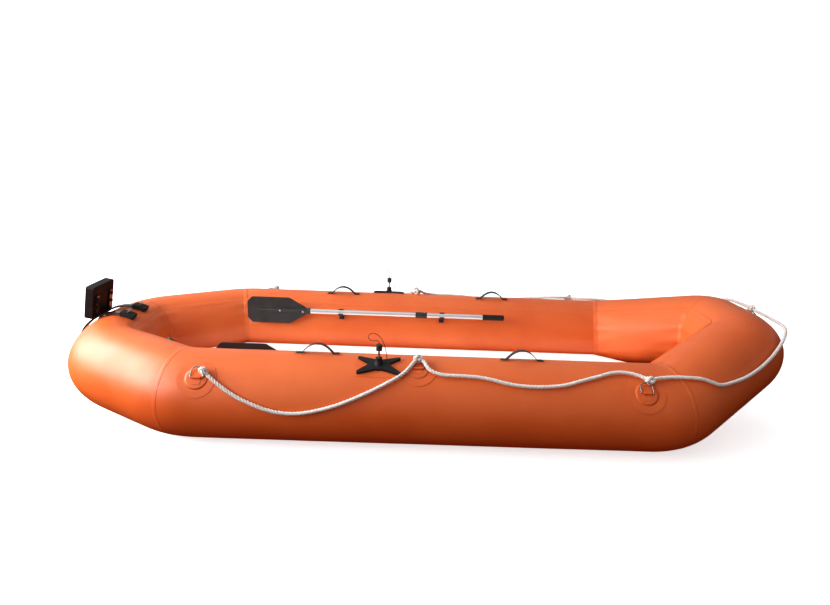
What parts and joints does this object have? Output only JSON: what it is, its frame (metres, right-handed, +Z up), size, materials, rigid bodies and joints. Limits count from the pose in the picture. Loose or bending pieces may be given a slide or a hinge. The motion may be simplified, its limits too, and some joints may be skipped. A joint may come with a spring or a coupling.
{
  "type": "inflatable dinghy",
  "caption": "Open inflatable rowing dinghy: ring of air tubes with a raised bow, flat air deck, stowed oars, grab line, rowlocks and a stern motor board.",
  "frame": {"origin": "middle of the boat on the ground, under the centre of its bounding box", "axes": "+X towards the bow, +Y to port, +Z up"},
  "size_m": [3.29, 1.334, 0.51],
  "materials": {
    "hull_rubber": "satin",
    "bottom_rubber": "matte",
    "deck_rubber": "satin",
    "patch_orange": "satin",
    "strap_webbing": "matte",
    "black_rubber": "satin",
    "black_plastic": "satin",
    "valve_plastic": "satin",
    "oar_aluminium": "satin",
    "bright_steel": "polished",
    "painted_steel": "gloss",
    "board_wood": "gloss",
    "rope_white": "matte",
    "cord_black": "matte"
  },
  "bodies": {
    "hull": {"bow_nose_tube": "hull_rubber", "port_bow_quarter": "hull_rubber", "port_side_tube": "hull_rubber", "port_stern_quarter": "hull_rubber", "starboard_bow_quarter": "hull_rubber", "starboard_side_tube": "hull_rubber", "starboard_stern_quarter": "hull_rubber", "stern_cross_tube": "hull_rubber", "tube_baffles": "hull_rubber", "bottom_fabric": "bottom_rubber", "air_deck": "deck_rubber", "valve_bodies": "valve_plastic", "port_aft_handle": "strap_webbing", "port_fore_handle": "strap_webbing", "starboard_aft_handle": "strap_webbing", "starboard_fore_handle": "strap_webbing", "handle_patches": "patch_orange", "rowlock_patches": "patch_orange", "clip_patches": "patch_orange", "d_rings": "bright_steel", "d_ring_tabs": "patch_orange", "d_ring_patches": "patch_orange", "grab_line": "rope_white", "grab_line_knots": "rope_white", "motor_mount_feet": "black_rubber", "starboard_rowlock_base": "black_rubber", "starboard_rowlock_pin": "bright_steel", "starboard_rowlock_cord": "cord_black", "starboard_oar_clips": "black_plastic", "port_rowlock_base": "black_rubber", "port_rowlock_pin": "bright_steel", "port_rowlock_cord": "cord_black", "port_oar_clips": "black_plastic"},
    "starboard_oar": {"starboard_oar_blade": "black_plastic", "starboard_oar_lower_shaft": "oar_aluminium", "starboard_oar_upper_shaft": "oar_aluminium", "starboard_oar_sleeve": "black_plastic", "starboard_oar_grip": "black_rubber"},
    "starboard_oar_button": {"starboard_oar_button": "bright_steel"},
    "starboard_rowlock_knob": {"starboard_rowlock_knob": "black_plastic"},
    "starboard_mount_screw": {"starboard_mount_screw": "bright_steel"},
    "port_oar": {"port_oar_blade": "black_plastic", "port_oar_lower_shaft": "oar_aluminium", "port_oar_upper_shaft": "oar_aluminium", "port_oar_sleeve": "black_plastic", "port_oar_grip": "black_rubber"},
    "port_oar_button": {"port_oar_button": "bright_steel"},
    "port_rowlock_knob": {"port_rowlock_knob": "black_plastic"},
    "port_mount_screw": {"port_mount_screw": "bright_steel"},
    "aft_valve_cap": {"aft_valve_cap": "valve_plastic"},
    "aft_valve_poppet": {"aft_valve_poppet": "valve_plastic"},
    "fore_valve_cap": {"fore_valve_cap": "valve_plastic"},
    "fore_valve_poppet": {"fore_valve_poppet": "valve_plastic"},
    "deck_valve_cap": {"deck_valve_cap": "valve_plastic"},
    "deck_valve_poppet": {"deck_valve_poppet": "valve_plastic"},
    "motor_mount": {"motor_mount_board": "board_wood", "motor_mount_arms": "painted_steel", "motor_mount_bolts": "bright_steel"}
  },
  "joints": [
    {"name": "starboard_oar_lift", "type": "slide", "parent": "hull", "child": "starboard_oar", "axis": [0, 0.9659, 0.2588], "range_m": [0, 0.15]},
    {"name": "starboard_oar_button_press", "type": "slide", "parent": "starboard_oar", "child": "starboard_oar_button", "axis": [0, 0, -1], "range_m": [0, 0.003], "stiffness_N_per_m": 300, "springref_m": -0.001},
    {"name": "starboard_rowlock_knob_turn", "type": "hinge", "parent": "hull", "child": "starboard_rowlock_knob", "pos_m": [-0.202, -0.53, 0.431], "axis": [0, 0, 1], "continuous": true},
    {"name": "starboard_mount_screw_turn", "type": "hinge", "parent": "hull", "child": "starboard_mount_screw", "pos_m": [-1.40787, -0.06, 0.37425], "axis": [0.2756, 0, 0.9613], "continuous": true},
    {"name": "port_oar_lift", "type": "slide", "parent": "hull", "child": "port_oar", "axis": [0, -0.8387, 0.5446], "range_m": [0, 0.15]},
    {"name": "port_oar_button_press", "type": "slide", "parent": "port_oar", "child": "port_oar_button", "axis": [0, 0, -1], "range_m": [0, 0.003], "stiffness_N_per_m": 300, "springref_m": -0.001},
    {"name": "port_rowlock_knob_turn", "type": "hinge", "parent": "hull", "child": "port_rowlock_knob", "pos_m": [-0.202, 0.53, 0.431], "axis": [0, 0, 1], "continuous": true},
    {"name": "port_mount_screw_turn", "type": "hinge", "parent": "hull", "child": "port_mount_screw", "pos_m": [-1.40787, 0.06, 0.37425], "axis": [0.2756, 0, 0.9613], "continuous": true},
    {"name": "aft_valve_cap_turn", "type": "hinge", "parent": "hull", "child": "aft_valve_cap", "pos_m": [-1.16015, -0.20461, 0.28639], "axis": [0.414, 0.7068, 0.5736], "continuous": true},
    {"name": "aft_valve_poppet_press", "type": "slide", "parent": "hull", "child": "aft_valve_poppet", "axis": [-0.414, -0.7068, -0.5736], "range_m": [0, 0.004], "stiffness_N_per_m": 300, "springref_m": -0.001},
    {"name": "fore_valve_cap_turn", "type": "hinge", "parent": "hull", "child": "fore_valve_cap", "pos_m": [0.64, -0.31741, 0.28639], "axis": [0, 0.8192, 0.5736], "continuous": true},
    {"name": "fore_valve_poppet_press", "type": "slide", "parent": "hull", "child": "fore_valve_poppet", "axis": [0, -0.8192, -0.5736], "range_m": [0, 0.004], "stiffness_N_per_m": 300, "springref_m": -0.001},
    {"name": "deck_valve_cap_turn", "type": "hinge", "parent": "hull", "child": "deck_valve_cap", "pos_m": [-1, -0.15, 0.121], "axis": [0, 0, 1], "continuous": true},
    {"name": "deck_valve_poppet_press", "type": "slide", "parent": "hull", "child": "deck_valve_poppet", "axis": [0, 0, -1], "range_m": [0, 0.004], "stiffness_N_per_m": 300, "springref_m": -0.001},
    {"name": "motor_mount_swing_off", "type": "hinge", "parent": "hull", "child": "motor_mount", "pos_m": [-1.463, 0, 0.182], "axis": [0, 1, 0], "range_deg": [-24, 0]}
  ]
}
